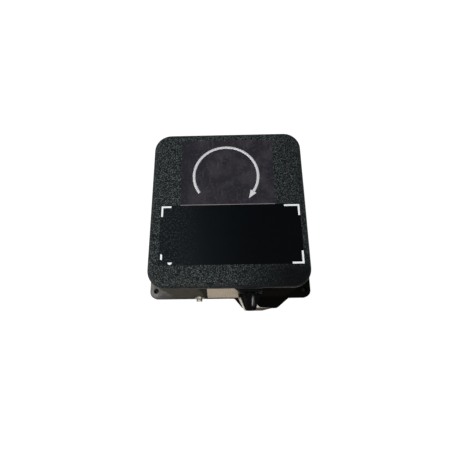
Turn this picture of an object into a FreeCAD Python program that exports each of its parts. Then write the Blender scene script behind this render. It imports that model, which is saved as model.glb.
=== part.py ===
import FreeCAD, Part
import math
import os
import re
import Sketcher

V = FreeCAD.Vector

# Rate of turn sensor: a spring restrained rate gyro in a flanged box.
# Origin: centre of the four mounting holes on the underside. +Z up, -Y to the connector side.
SIZES = {
    # mounting flange
    "plate_width": 144.0,
    "plate_depth": 122.0,
    "plate_thick": 5.0,
    "plate_corner": 6.5,
    "mount_pitch_x": 133.4,
    "mount_pitch_y": 108.0,
    "mount_hole_dia": 4.4,
    "lug_left": 3.8,
    "lug_right": 52.4,
    "lug_tip_left": 11.0,
    "lug_tip_right": 41.6,
    "lug_reach": 8.8,
    "lug_corner": 4.0,
    "lug_blend": 1.5,
    # housing walls
    "body_width": 114.0,
    "body_depth": 120.5,
    "body_corner": 11.5,
    "wall": 3.0,
    "rim_height": 71.0,
    "post_inset": 8.3,
    "post_radius": 4.6,
    "cover_screw_dia": 3.5,
    "screw_clear": 0.3,
    "head_recess_dia": 7.2,
    "head_recess_depth": 3.3,
    # cover
    "gasket_thick": 1.0,
    "gasket_margin": 0.4,
    "cover_width": 115.0,
    "cover_depth": 121.5,
    "cover_corner": 13.2,
    "cover_height": 7.0,
    "cover_edge": 5.2,
    "cover_wall": 3.2,
    "cover_top": 2.6,
    "cover_thread_depth": 5.0,
    "thread_end_gap": 0.5,
    "screw_slot_wide": 0.8,
    "screw_slot_deep": 1.3,
    "cover_head_dia": 6.4,
    "cover_head_high": 2.6,
    # decals and tape
    "decal_thick": 0.15,
    "lower_decal_width": 101.4,
    "lower_decal_depth": 44.4,
    "lower_decal_x": 1.5,
    "lower_decal_y": -23.15,
    "upper_decal_width": 69.6,
    "upper_decal_depth": 54.2,
    "upper_decal_x": -0.2,
    "tape_thick": 0.3,
    "tape_left": -15.8,
    "tape_lean": 4.5,
    "tape_gap": 0.4,
    "tape_drop": 2.5,
    "tape_corner_wide": 2.6,
    "tape_corner_high": 13.0,
    "flap_start": 7.5,
    "flap_end": 17.0,
    "flap_lean": 4.6,
    "flap_beyond": 2.3,
    "flap_tip": 28.0,
    "flap_tail": 38.0,
    "flap_notch_x": 26.2,
    "flap_band": 2.9,
    # connector on the front wall
    "connector_x": 15.0,
    "connector_drop": 12.0,
    "connector_flange": 17.0,
    "connector_flange_thick": 1.6,
    "connector_flange_corner": 2.4,
    "connector_gasket_thick": 0.5,
    "connector_hole_pitch": 12.8,
    "connector_screw_dia": 2.0,
    "connector_screw_head_dia": 3.4,
    "connector_screw_head_high": 1.2,
    "connector_screw_long": 6.0,
    "shell_radius": 4.9,
    "shell_wall": 1.0,
    "shell_reach": 5.9,
    "shell_tail": 10.0,
    "shell_hole_clear": 0.3,
    "insert_recess": 3.0,
    "pin_count": 6,
    "pin_circle_radius": 2.4,
    "pin_radius": 0.45,
    "pin_reach": 2.0,
    "pin_tail": 4.0,
    # dust cap
    "cap_gap": 1.5,
    "cap_brim_radius": 7.8,
    "cap_brim_thick": 0.9,
    "cap_root_radius": 7.3,
    "cap_tip_radius": 4.0,
    "cap_length": 11.3,
    "cap_fit": 0.05,
    "cap_seat_depth": 4.5,
    "cap_wall": 1.1,
    "cap_tip_round": 1.0,
    "cap_ledge": 0.6,
    # ground terminal
    "ground_x": -26.2,
    "ground_z": 17.0,
    "ground_screw_dia": 3.0,
    "ground_screw_long": 5.0,
    "ground_head_dia": 5.0,
    "ground_head_high": 2.6,
    "ground_washer_dia": 8.0,
    "ground_washer_thick": 1.8,
    # gyro frame
    "gyro_y": 20.0,
    "axis_height": 38.0,
    "boss_radius": 4.5,
    "boss_height": 3.0,
    "boss_hole_spare": 1.0,
    "frame_width": 80.0,
    "frame_depth": 48.0,
    "frame_thick": 5.0,
    "frame_corner": 4.0,
    "frame_screw_dia": 3.5,
    "frame_screw_long": 7.0,
    "frame_head_dia": 6.0,
    "frame_head_high": 2.4,
    "frame_screw_inset": 5.0,
    "arm_inside": 29.0,
    "arm_thick": 6.0,
    "arm_depth": 24.0,
    "arm_above_axis": 11.0,
    "arm_round": 9.0,
    # gimbal and its pivots
    "gimbal_width": 52.0,
    "gimbal_depth": 46.0,
    "gimbal_high": 12.0,
    "gimbal_bar": 6.0,
    "gimbal_corner": 5.0,
    "gimbal_inner_corner": 3.0,
    "pivot_radius": 2.5,
    "pivot_beyond_arm": 1.0,
    "bearing_outer": 5.5,
    "bearing_width": 5.0,
    "running_clear": 0.04,
    "torsion_radius": 0.45,
    "torsion_long": 10.0,
    "clamp_radius": 8.0,
    "clamp_wall": 2.4,
    "clamp_end": 3.0,
    # spin motor
    "rotor_radius": 18.0,
    "rotor_width": 26.0,
    "rotor_bore": 12.5,
    "rotor_chamfer": 1.5,
    "bell_thick": 3.0,
    "hysteresis_thick": 0.9,
    "hysteresis_width": 13.0,
    "spin_bearing_outer": 6.5,
    "spin_bearing_width": 4.0,
    "spin_shaft_radius": 3.0,
    "stator_radius": 10.8,
    "stator_width": 10.0,
    "stator_slots": 8,
    "slot_wide": 2.2,
    "slot_deep": 3.6,
    "winding_long": 3.4,
    "winding_inset": 1.0,
    "winding_core_gap": 0.8,
    "shaft_end": 0.5,
    "shaft_nut_across": 8.0,
    "shaft_nut_thick": 3.0,
    # pickoff
    "pickoff_outer": 13.0,
    "pickoff_ring": 2.6,
    "pickoff_width": 7.0,
    "pole_wide": 4.0,
    "pickoff_gap": 0.4,
    "armature_radius": 6.6,
    "armature_wide": 5.0,
    "coil_thick": 1.3,
    "coil_end_gap": 0.6,
    # damper and stops
    "vane_thick": 1.2,
    "vane_width": 22.0,
    "vane_long": 15.0,
    "magnet_gap": 0.8,
    "magnet_thick": 3.6,
    "magnet_width": 15.0,
    "magnet_high": 13.0,
    "stop_radius": 1.6,
    "stop_travel": 1.8,
    "balance_radius": 2.6,
    "balance_thick": 2.4,
    # circuit boards
    "board_width": 84.0,
    "board_depth": 38.0,
    "board_thick": 1.6,
    "board_y": -32.0,
    "board_corner_inset": 4.0,
    "lower_board_z": 13.0,
    "upper_board_z": 36.0,
    "spacer_across": 5.2,
    "stud_long": 4.0,
    "spacer_bore_deep": 5.0,
    "board_screw_dia": 2.5,
    "board_screw_long": 5.6,
    "board_head_dia": 4.6,
    "board_head_high": 1.8,
    "transformer_width": 24.0,
    "transformer_depth": 20.0,
    "transformer_high": 15.0,
    "transformer_x": -22.0,
    "core_depth": 12.0,
    "bobbin_width": 15.0,
    "bobbin_high": 10.6,
    "can_first_x": 4.0,
    "can_pitch": 12.0,
    "can_row": 9.0,
    "can_radius": 4.0,
    "can_high": 11.0,
    "transistor_radius": 4.2,
    "transistor_high": 6.0,
    "transistor_first_x": -30.0,
    "transistor_pitch": 12.0,
    "transistor_row": 8.0,
    "resistor_radius": 1.2,
    "resistor_long": 7.0,
    "resistor_first_x": -34.0,
    "resistor_pitch": 12.0,
    "resistor_row": 4.0,
    "trimmer_long": 19.0,
    "trimmer_wide": 5.0,
    "trimmer_high": 6.4,
    "trimmer_first_x": -24.0,
    "trimmer_pitch": 24.0,
    "trimmer_row": 14.0,
}

doc = FreeCAD.newDocument("rate_of_turn_sensor")
sheet = doc.addObject("Spreadsheet::Sheet", "dims")
for row, (alias, number) in enumerate(SIZES.items(), start=1):
    sheet.set("A%d" % row, alias)
    sheet.set("B%d" % row, str(number))
    sheet.setAlias("B%d" % row, alias)
doc.recompute()

nodes = []


def formula(text):
    """Points every size named in the text at its cell."""
    return re.sub(r"[a-z][a-z0-9_]*", lambda m: "dims." + m.group() if m.group() in SIZES else m.group(), text)


def value(text):
    return float(sheet.evalExpression(formula(text)))


def bind(item, prop, text):
    item.setExpression(prop, formula(text))


def keep(item, label):
    item.Label = label
    nodes.append(item)
    return item


# Part primitives. Places and sizes are formulas over the sheet.

TURN = {
    "z": FreeCAD.Rotation(),
    "-z": FreeCAD.Rotation(V(1, 0, 0), 180),
    "x": FreeCAD.Rotation(V(0, 1, 0), 90),
    "y": FreeCAD.Rotation(V(1, 0, 0), -90),
    "-y": FreeCAD.Rotation(V(1, 0, 0), 90),
    "-x": FreeCAD.Rotation(V(0, 1, 0), -90),
}


def place(item, at, axis="z"):
    item.Placement = FreeCAD.Placement(V(0, 0, 0), TURN[axis])
    for letter, text in zip("xyz", at):
        bind(item, "Placement.Base." + letter, text)
    return item


def cylinder(radius, height, at, axis="z"):
    item = doc.addObject("Part::Cylinder", "cylinder")
    bind(item, "Radius", radius)
    bind(item, "Height", height)
    return place(item, at, axis)


def ring(outer, inner, height, at, axis="z"):
    return cut(cylinder(outer, height, at, axis), cylinder(inner, height, at, axis))


def box(size, at):
    """A box centred on at in X and Y, standing on at in Z."""
    item = doc.addObject("Part::Box", "box")
    for prop, text in zip(("Length", "Width", "Height"), size):
        bind(item, prop, text)
    return place(item, ("(%s) - (%s) / 2" % (at[0], size[0]), "(%s) - (%s) / 2" % (at[1], size[1]), at[2]))


def prism(across, height, at, axis="z"):
    """A hexagonal prism, across its flats."""
    item = doc.addObject("Part::Prism", "prism")
    item.Polygon = 6
    bind(item, "Circumradius", "(%s) / sqrt(3)" % across)
    bind(item, "Height", height)
    return place(item, at, axis)


def fuse(*parts):
    item = doc.addObject("Part::MultiFuse", "fuse")
    item.Shapes = list(parts)
    return item


def group(parts):
    item = doc.addObject("Part::Compound", "group")
    item.Links = list(parts)
    return item


def cut(base, *tools):
    item = doc.addObject("Part::Cut", "cut")
    item.Base = base
    item.Tool = tools[0] if len(tools) == 1 else group(tools)
    return item


def common(base, tool):
    item = doc.addObject("Part::Common", "common")
    item.Base = base
    item.Tool = tool
    return item


def corners(pitch_x, pitch_y, x="0", y="0"):
    """The four corners of a rectangle, as pairs of formulas."""
    return [
        ("(%s) + %d * (%s) / 2" % (x, side_x, pitch_x), "(%s) + %d * (%s) / 2" % (y, side_y, pitch_y))
        for side_x in (-1, 1)
        for side_y in (-1, 1)
    ]


# PartDesign bodies, sketched on their own origin planes.

def new_body(label):
    return doc.addObject("PartDesign::Body", label)


def sketch_on(body, role, name, offset="0"):
    plane = [feature for feature in body.Origin.OriginFeatures if feature.Role == role][0]
    sketch = body.newObject("Sketcher::SketchObject", name)
    sketch.AttachmentSupport = [(plane, "")]
    sketch.MapMode = "FlatFace"
    bind(sketch, "AttachmentOffset.Base.z", offset)
    return sketch


def rule(sketch, kind, *where, text=None):
    """Adds a constraint, driven by a formula where one is given."""
    if text is None:
        return sketch.addConstraint(Sketcher.Constraint(kind, *where))
    index = sketch.addConstraint(Sketcher.Constraint(kind, *where, value(text)))
    name = "size%d" % index
    sketch.renameConstraint(index, name)
    bind(sketch, "Constraints." + name, text)
    return index


def draw_circle(sketch, radius, x="0", y="0"):
    circle = sketch.addGeometry(Part.Circle(V(value(x), value(y), 0), V(0, 0, 1), value(radius)), False)
    rule(sketch, "Radius", circle, text=radius)
    rule(sketch, "DistanceX", -1, 1, circle, 3, text=x)
    rule(sketch, "DistanceY", -1, 1, circle, 3, text=y)


def draw_outline(sketch, points):
    """A closed outline of straight lines through points given as formulas."""
    spots = [V(value(x), value(y), 0) for x, y in points]
    lines = [
        sketch.addGeometry(Part.LineSegment(spot, spots[(index + 1) % len(spots)]), False)
        for index, spot in enumerate(spots)
    ]
    for index, line in enumerate(lines):
        rule(sketch, "Coincident", line, 2, lines[(index + 1) % len(lines)], 1)
        rule(sketch, "DistanceX", -1, 1, line, 1, text=points[index][0])
        rule(sketch, "DistanceY", -1, 1, line, 1, text=points[index][1])


def draw_round_rectangle(sketch, width, depth, radius, x="0", y="0"):
    left, right = "(%s) - (%s) / 2" % (x, width), "(%s) + (%s) / 2" % (x, width)
    low, high = "(%s) - (%s) / 2" % (y, depth), "(%s) + (%s) / 2" % (y, depth)
    x0, x1, y0, y1, r = value(left), value(right), value(low), value(high), value(radius)
    ends = [
        (V(x0 + r, y0, 0), V(x1 - r, y0, 0)),
        (V(x1, y0 + r, 0), V(x1, y1 - r, 0)),
        (V(x1 - r, y1, 0), V(x0 + r, y1, 0)),
        (V(x0, y1 - r, 0), V(x0, y0 + r, 0)),
    ]
    centres = [V(x1 - r, y0 + r, 0), V(x1 - r, y1 - r, 0), V(x0 + r, y1 - r, 0), V(x0 + r, y0 + r, 0)]
    lines = [sketch.addGeometry(Part.LineSegment(start, end), False) for start, end in ends]
    arcs = []
    for index, centre in enumerate(centres):
        start = (index - 1) * math.pi / 2
        arc = Part.ArcOfCircle(Part.Circle(centre, V(0, 0, 1), r), start, start + math.pi / 2)
        arcs.append(sketch.addGeometry(arc, False))
    for index in range(4):
        rule(sketch, "Tangent", lines[index], 2, arcs[index], 1)
        rule(sketch, "Tangent", arcs[index], 2, lines[(index + 1) % 4], 1)
        rule(sketch, ("Horizontal", "Vertical")[index % 2], lines[index])
        if index:
            rule(sketch, "Equal", arcs[0], arcs[index])
    rule(sketch, "Radius", arcs[0], text=radius)
    rule(sketch, "DistanceY", -1, 1, lines[0], 1, text=low)
    rule(sketch, "DistanceX", -1, 1, lines[1], 1, text=right)
    rule(sketch, "DistanceY", -1, 1, lines[2], 1, text=high)
    rule(sketch, "DistanceX", -1, 1, lines[3], 1, text=left)


def solid_volume(feature):
    return 0.0 if feature is None or feature.Shape.isNull() else feature.Shape.Volume


def add_feature(body, kind, name, sketch, length=None, through=False, reverse=False):
    """A Pad or Pocket that must change the body's volume."""
    before = solid_volume(body.Tip)
    feature = body.newObject("PartDesign::" + kind, name)
    feature.Profile = sketch
    feature.Reversed = reverse
    if through:
        feature.Type = "ThroughAll"
        feature.Midplane = True
    else:
        bind(feature, "Length", length)
    doc.recompute()
    change = solid_volume(feature) - before
    if (kind == "Pad") != (change > 0) or abs(change) < 0.01:
        raise RuntimeError("%s changes nothing" % name)
    return feature


def turn_profile(body, name, sketch, axis):
    feature = body.newObject("PartDesign::Revolution", name)
    feature.Profile = sketch
    feature.ReferenceAxis = (sketch, [axis])
    feature.Angle = 360
    doc.recompute()
    return feature


def round_edges(body, name, radius, chosen):
    base = body.Tip
    names = ["Edge%d" % (index + 1) for index, edge in enumerate(base.Shape.Edges) if chosen(edge)]
    feature = body.newObject("PartDesign::Fillet", name)
    feature.Base = (base, names)
    bind(feature, "Radius", radius)
    doc.recompute()
    return feature


def is_upright(edge):
    first, last = edge.Vertexes[0].Point, edge.Vertexes[-1].Point
    return abs(first.z - last.z) > 1e-3 and abs(first.x - last.x) + abs(first.y - last.y) < 1e-4


def turning_axis(sketch, start, end, height):
    """The construction line that a profile is turned about, along the sketch's X."""
    line = Part.LineSegment(V(value(start), value(height), 0), V(value(end), value(height), 0))
    centre = sketch.addGeometry(line, True)
    for point, text in ((1, start), (2, end)):
        rule(sketch, "DistanceX", -1, 1, centre, point, text=text)
        rule(sketch, "DistanceY", -1, 1, centre, point, text=height)


BODY_FRONT = "-body_depth / 2"
LUG_TIP = "(-plate_depth / 2 - lug_reach)"
POST_X = "(body_width - 2 * post_inset)"
POST_Y = "(body_depth - 2 * post_inset)"
COVER_BASE = "(rim_height + gasket_thick)"
COVER_TOP = "(rim_height + gasket_thick + cover_height)"
CONNECTOR_Z = "(rim_height - connector_drop)"
FLANGE_FACE = "(-body_depth / 2 - connector_gasket_thick - connector_flange_thick)"
BOSS_X = "(frame_width - 2 * frame_screw_inset)"
BOSS_Y = "(frame_depth - 2 * frame_screw_inset)"
BOSS_TOP = "(plate_thick + boss_height)"
FRAME_TOP = "(plate_thick + boss_height + frame_thick)"
BOARD_X = "(board_width - 2 * board_corner_inset)"
BOARD_Y = "(board_depth - 2 * board_corner_inset)"


def make_housing():
    """Flange with its front lug, walls, corner posts, floor bosses and all holes."""
    body = new_body("housing")
    outline = sketch_on(body, "XY_Plane", "flange_outline")
    draw_round_rectangle(outline, "plate_width", "plate_depth", "plate_corner")
    add_feature(body, "Pad", "flange", outline, "plate_thick")
    lug = sketch_on(body, "XY_Plane", "lug_outline")
    draw_outline(lug, [
        ("lug_left", "-plate_depth / 2"),
        ("lug_tip_left", LUG_TIP),
        ("lug_tip_right", LUG_TIP),
        ("lug_right", "-plate_depth / 2"),
        ("lug_right", "wall - body_depth / 2"),
        ("lug_left", "wall - body_depth / 2"),
    ])
    add_feature(body, "Pad", "lug", lug, "plate_thick")
    for name, radius, level in (
        ("lug_rounds", "lug_corner", value(LUG_TIP)),
        ("lug_blends", "lug_blend", value("-plate_depth / 2")),
    ):
        reach = value("plate_width / 2 - plate_corner")
        round_edges(
            body, name, radius,
            lambda edge, level=level, reach=reach: is_upright(edge)
            and abs(edge.Vertexes[0].Point.y - level) < 1e-3
            and abs(edge.Vertexes[0].Point.x) < reach - 1e-3,
        )
    walls = sketch_on(body, "XY_Plane", "wall_outline")
    draw_round_rectangle(walls, "body_width", "body_depth", "body_corner")
    add_feature(body, "Pad", "walls", walls, "rim_height")
    cavity = sketch_on(body, "XY_Plane", "cavity_outline", "rim_height")
    draw_round_rectangle(cavity, "body_width - 2 * wall", "body_depth - 2 * wall", "body_corner - wall")
    add_feature(body, "Pocket", "cavity", cavity, "rim_height - plate_thick")
    posts = sketch_on(body, "XY_Plane", "post_circles")
    recesses = sketch_on(body, "XY_Plane", "recess_circles")
    bores = sketch_on(body, "XY_Plane", "bore_circles")
    for x, y in corners(POST_X, POST_Y):
        draw_circle(posts, "post_radius", x, y)
        draw_circle(recesses, "head_recess_dia / 2", x, y)
        draw_circle(bores, "cover_screw_dia / 2 + screw_clear", x, y)
    add_feature(body, "Pad", "posts", posts, "rim_height")
    bosses = sketch_on(body, "XY_Plane", "boss_circles")
    boss_holes = sketch_on(body, "XY_Plane", "boss_hole_circles", BOSS_TOP)
    for x, y in corners(BOSS_X, BOSS_Y, "0", "gyro_y"):
        draw_circle(bosses, "boss_radius", x, y)
        draw_circle(boss_holes, "frame_screw_dia / 2", x, y)
    add_feature(body, "Pad", "bosses", bosses, BOSS_TOP)
    add_feature(body, "Pocket", "boss_holes", boss_holes, "frame_screw_long - frame_thick + boss_hole_spare")
    add_feature(body, "Pocket", "post_bores", bores, through=True)
    add_feature(body, "Pocket", "head_recesses", recesses, "head_recess_depth", reverse=True)
    mounts = sketch_on(body, "XY_Plane", "mount_circles")
    for x, y in corners("mount_pitch_x", "mount_pitch_y"):
        draw_circle(mounts, "mount_hole_dia / 2", x, y)
    add_feature(body, "Pocket", "mount_holes", mounts, through=True)
    opening = sketch_on(body, "XZ_Plane", "connector_circles", "body_depth / 2")
    draw_circle(opening, "shell_radius + shell_hole_clear", "connector_x", CONNECTOR_Z)
    for x, z in corners("connector_hole_pitch", "connector_hole_pitch", "connector_x", CONNECTOR_Z):
        draw_circle(opening, "connector_screw_dia / 2", x, z)
    draw_circle(opening, "ground_screw_dia / 2", "ground_x", "ground_z")
    add_feature(body, "Pocket", "front_holes", opening, "wall")
    keep(body, "housing")


def make_cover():
    """Shallow cover with rounded edges and four tapped bosses."""
    body = new_body("cover")
    outline = sketch_on(body, "XY_Plane", "cover_outline", COVER_BASE)
    draw_round_rectangle(outline, "cover_width", "cover_depth", "cover_corner")
    add_feature(body, "Pad", "cover_block", outline, "cover_height")
    top = value(COVER_TOP)
    round_edges(
        body, "cover_round", "cover_edge",
        lambda edge: min(vertex.Point.z for vertex in edge.Vertexes) > top - 1e-3,
    )
    hollow = sketch_on(body, "XY_Plane", "cover_hollow_outline", COVER_BASE)
    draw_round_rectangle(
        hollow, "cover_width - 2 * cover_wall", "cover_depth - 2 * cover_wall", "cover_corner - cover_wall"
    )
    add_feature(body, "Pocket", "cover_hollow", hollow, "cover_height - cover_top", reverse=True)
    bosses = sketch_on(body, "XY_Plane", "cover_boss_circles", COVER_BASE)
    threads = sketch_on(body, "XY_Plane", "cover_thread_circles", COVER_BASE)
    for x, y in corners(POST_X, POST_Y):
        draw_circle(bosses, "post_radius", x, y)
        draw_circle(threads, "cover_screw_dia / 2", x, y)
    add_feature(body, "Pad", "cover_bosses", bosses, "cover_height - cover_top")
    add_feature(body, "Pocket", "cover_threads", threads, "cover_thread_depth", reverse=True)
    keep(body, "cover")


def make_cover_gasket():
    body = new_body("cover_gasket")
    outline = sketch_on(body, "XY_Plane", "gasket_outline", "rim_height")
    draw_round_rectangle(
        outline, "body_width - 2 * gasket_margin", "body_depth - 2 * gasket_margin",
        "body_corner - gasket_margin",
    )
    draw_round_rectangle(outline, "body_width - 2 * wall", "body_depth - 2 * wall", "body_corner - wall")
    add_feature(body, "Pad", "gasket_frame", outline, "gasket_thick")
    pads = sketch_on(body, "XY_Plane", "gasket_pad_circles", "rim_height")
    bores = sketch_on(body, "XY_Plane", "gasket_bore_circles", "rim_height")
    for x, y in corners(POST_X, POST_Y):
        draw_circle(pads, "post_radius", x, y)
        draw_circle(bores, "cover_screw_dia / 2 + screw_clear", x, y)
    add_feature(body, "Pad", "gasket_pads", pads, "gasket_thick")
    add_feature(body, "Pocket", "gasket_bores", bores, through=True)
    keep(body, "cover_gasket")


def screw(head_dia, head_high, shank_dia, shank_long, at, axis, back):
    """A slotted screw: at is the seat of its head, axis points along the shank, back the other way."""
    head = cylinder(head_dia + " / 2", head_high, at, back)
    shank = cylinder(shank_dia + " / 2", shank_long, at, axis)
    return fuse(head, shank)


def make_cover_screws():
    """Four long screws, put in from below."""
    screws = []
    for x, y in corners(POST_X, POST_Y):
        head = cylinder("cover_head_dia / 2", "cover_head_high", (x, y, "head_recess_depth - cover_head_high"))
        shank = cylinder(
            "cover_screw_dia / 2", COVER_BASE + " + cover_thread_depth - thread_end_gap - head_recess_depth",
            (x, y, "head_recess_depth"),
        )
        slot = box(
            ("cover_head_dia", "screw_slot_wide", "screw_slot_deep"),
            (x, y, "head_recess_depth - cover_head_high"),
        )
        screws.append(cut(fuse(head, shank), slot))
    keep(group(screws), "cover_screws")


def make_decals():
    """Two bare decals on the cover, edge to edge."""
    lower = box(
        ("lower_decal_width", "lower_decal_depth", "decal_thick"),
        ("lower_decal_x", "lower_decal_y", COVER_TOP),
    )
    keep(lower, "lower_decal")
    upper = box(
        ("upper_decal_width", "upper_decal_depth", "decal_thick"),
        ("upper_decal_x", "lower_decal_y + lower_decal_depth / 2 + upper_decal_depth / 2", COVER_TOP),
    )
    keep(upper, "arrow_decal")


def make_front_tape():
    """Tape down the front wall, folded onto the lug and torn off past its edge."""
    wall_part = new_body("tape_on_wall")
    outline = sketch_on(wall_part, "XZ_Plane", "tape_outline", "body_depth / 2 + tape_thick")
    right = "(connector_x - connector_flange / 2 - tape_gap)"
    top = "(rim_height - tape_drop)"
    draw_outline(outline, [
        ("tape_left - tape_lean", "plate_thick"),
        ("flap_start", "plate_thick"),
        (right, CONNECTOR_Z + " - connector_flange / 2"),
        (right, top + " - tape_corner_high"),
        (right + " - tape_corner_wide", top),
        ("tape_left", top),
    ])
    add_feature(wall_part, "Pad", "tape_on_wall_pad", outline, "tape_thick", reverse=True)
    flap = new_body("tape_flap")
    outline = sketch_on(flap, "XY_Plane", "flap_outline", "plate_thick")
    tip = "(" + LUG_TIP + " - flap_beyond)"
    draw_outline(outline, [
        ("flap_start - 2 * tape_thick", BODY_FRONT),
        ("flap_start + flap_lean", tip),
        ("flap_tip", tip),
        ("flap_tail", LUG_TIP),
        ("flap_notch_x", tip + " + flap_band"),
        ("flap_end", BODY_FRONT),
    ])
    add_feature(flap, "Pad", "tape_flap_pad", outline, "tape_thick")
    keep(fuse(wall_part, flap), "front_tape")


def make_connector():
    """Square flange receptacle with its gasket, insert, pins and screws."""
    screw_holes = corners("connector_hole_pitch", "connector_hole_pitch", "connector_x", CONNECTOR_Z)
    body = new_body("connector_shell")
    flange = sketch_on(body, "XZ_Plane", "connector_flange_outline", "body_depth / 2 + connector_gasket_thick")
    draw_round_rectangle(
        flange, "connector_flange", "connector_flange", "connector_flange_corner", "connector_x", CONNECTOR_Z
    )
    for x, z in screw_holes:
        draw_circle(flange, "connector_screw_dia / 2", x, z)
    add_feature(body, "Pad", "connector_flange_plate", flange, "connector_flange_thick")
    tube = sketch_on(body, "XZ_Plane", "shell_circle", "-" + FLANGE_FACE + " + shell_reach")
    draw_circle(tube, "shell_radius", "connector_x", CONNECTOR_Z)
    length = "(shell_reach + connector_flange_thick + shell_tail)"
    add_feature(body, "Pad", "shell_tube", tube, length, reverse=True)
    bore = sketch_on(body, "XZ_Plane", "shell_bore_circle", "body_depth / 2")
    draw_circle(bore, "shell_radius - shell_wall", "connector_x", CONNECTOR_Z)
    add_feature(body, "Pocket", "shell_bore", bore, through=True)
    keep(body, "connector_shell")

    gasket = new_body("connector_gasket")
    outline = sketch_on(gasket, "XZ_Plane", "connector_gasket_outline", "body_depth / 2")
    draw_round_rectangle(
        outline, "connector_flange", "connector_flange", "connector_flange_corner", "connector_x", CONNECTOR_Z
    )
    draw_circle(outline, "shell_radius + shell_hole_clear", "connector_x", CONNECTOR_Z)
    for x, z in screw_holes:
        draw_circle(outline, "connector_screw_dia / 2", x, z)
    add_feature(gasket, "Pad", "connector_gasket_pad", outline, "connector_gasket_thick")
    keep(gasket, "connector_gasket")
    screws = [
        screw(
            "connector_screw_head_dia", "connector_screw_head_high",
            "connector_screw_dia", "connector_screw_long", (x, FLANGE_FACE, z), "y", "-y",
        )
        for x, z in screw_holes
    ]
    keep(group(screws), "connector_screws")

    front = FLANGE_FACE + " - shell_reach + insert_recess"
    span = length + " - insert_recess"
    insert = cylinder("shell_radius - shell_wall", span, ("connector_x", front, CONNECTOR_Z), "y")
    pins = []
    sockets = []
    for number in range(int(value("pin_count"))):
        turn = "360 * %d / pin_count" % number
        x = "connector_x + pin_circle_radius * cos(%s)" % turn
        z = CONNECTOR_Z + " + pin_circle_radius * sin(%s)" % turn
        pin_size = ("pin_radius", span + " + pin_reach + pin_tail", (x, front + " - pin_reach", z), "y")
        pins.append(cylinder(*pin_size))
        sockets.append(cylinder(*pin_size))
    keep(cut(insert, *sockets), "connector_insert")
    keep(group(pins), "connector_pins")


def make_dust_cap():
    """Tapered push-on cap, turned about the connector's axis."""
    body = new_body("dust_cap")
    sketch = sketch_on(body, "YZ_Plane", "cap_profile", "connector_x")
    mouth = "(" + FLANGE_FACE + " - cap_gap)"
    tip = "(" + mouth + " - cap_length)"
    seat = "(" + mouth + " - cap_seat_depth)"
    axis = CONNECTOR_Z
    draw_outline(sketch, [
        (mouth, axis + " + shell_radius + cap_fit"),
        (mouth, axis + " + cap_brim_radius"),
        (mouth + " - cap_brim_thick", axis + " + cap_brim_radius"),
        (mouth + " - cap_brim_thick", axis + " + cap_root_radius"),
        (tip + " + cap_tip_round", axis + " + cap_tip_radius"),
        (tip, axis + " + cap_tip_radius - cap_tip_round"),
        (tip, axis),
        (tip + " + cap_wall", axis),
        (tip + " + cap_wall", axis + " + cap_tip_radius - cap_wall"),
        (seat, axis + " + shell_radius - cap_ledge"),
        (seat, axis + " + shell_radius + cap_fit"),
    ])
    turning_axis(sketch, tip, mouth, axis)
    turn_profile(body, "cap_turning", sketch, "Axis0")
    keep(body, "dust_cap")


def make_ground_terminal():
    washer = ring(
        "ground_washer_dia / 2", "ground_screw_dia / 2", "ground_washer_thick",
        ("ground_x", BODY_FRONT, "ground_z"), "-y",
    )
    keep(washer, "ground_washer")
    seat = BODY_FRONT + " - ground_washer_thick"
    blank = screw(
        "ground_head_dia", "ground_head_high", "ground_screw_dia", "ground_screw_long",
        ("ground_x", seat, "ground_z"), "y", "-y",
    )
    slot = box(
        ("ground_head_dia", "screw_slot_deep", "screw_slot_wide"),
        ("ground_x", seat + " - ground_head_high + screw_slot_deep / 2", "ground_z - screw_slot_wide / 2"),
    )
    keep(cut(blank, slot), "ground_screw")


def make_gyro_frame():
    """Base and two arms that carry the gimbal."""
    body = new_body("gyro_frame")
    base = sketch_on(body, "XY_Plane", "frame_base_outline", BOSS_TOP)
    draw_round_rectangle(base, "frame_width", "frame_depth", "frame_corner", "0", "gyro_y")
    for x, y in corners(BOSS_X, BOSS_Y, "0", "gyro_y"):
        draw_circle(base, "frame_screw_dia / 2", x, y)
    add_feature(body, "Pad", "frame_base", base, "frame_thick")
    arms = sketch_on(body, "XY_Plane", "arm_outlines", FRAME_TOP)
    for side in (-1, 1):
        inner, outer = ("%d * arm_inside" % side, "%d * (arm_inside + arm_thick)" % side)
        draw_outline(arms, [
            (inner, "gyro_y - arm_depth / 2"),
            (outer, "gyro_y - arm_depth / 2"),
            (outer, "gyro_y + arm_depth / 2"),
            (inner, "gyro_y + arm_depth / 2"),
        ])
    add_feature(body, "Pad", "arms", arms, "axis_height + arm_above_axis - " + FRAME_TOP)
    top = value("axis_height + arm_above_axis")
    round_edges(
        body, "arm_tops", "arm_round",
        lambda edge: edge.BoundBox.ZMin > top - 1e-3 and edge.BoundBox.YLength < 1e-3,
    )
    bores = sketch_on(body, "YZ_Plane", "arm_bore_circles")
    draw_circle(bores, "bearing_outer", "gyro_y", "axis_height")
    add_feature(body, "Pocket", "arm_bores", bores, through=True)
    keep(body, "gyro_frame")
    screws = [
        screw(
            "frame_head_dia", "frame_head_high", "frame_screw_dia", "frame_screw_long",
            (x, y, FRAME_TOP), "-z", "z",
        )
        for x, y in corners(BOSS_X, BOSS_Y, "0", "gyro_y")
    ]
    keep(group(screws), "frame_screws")


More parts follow.
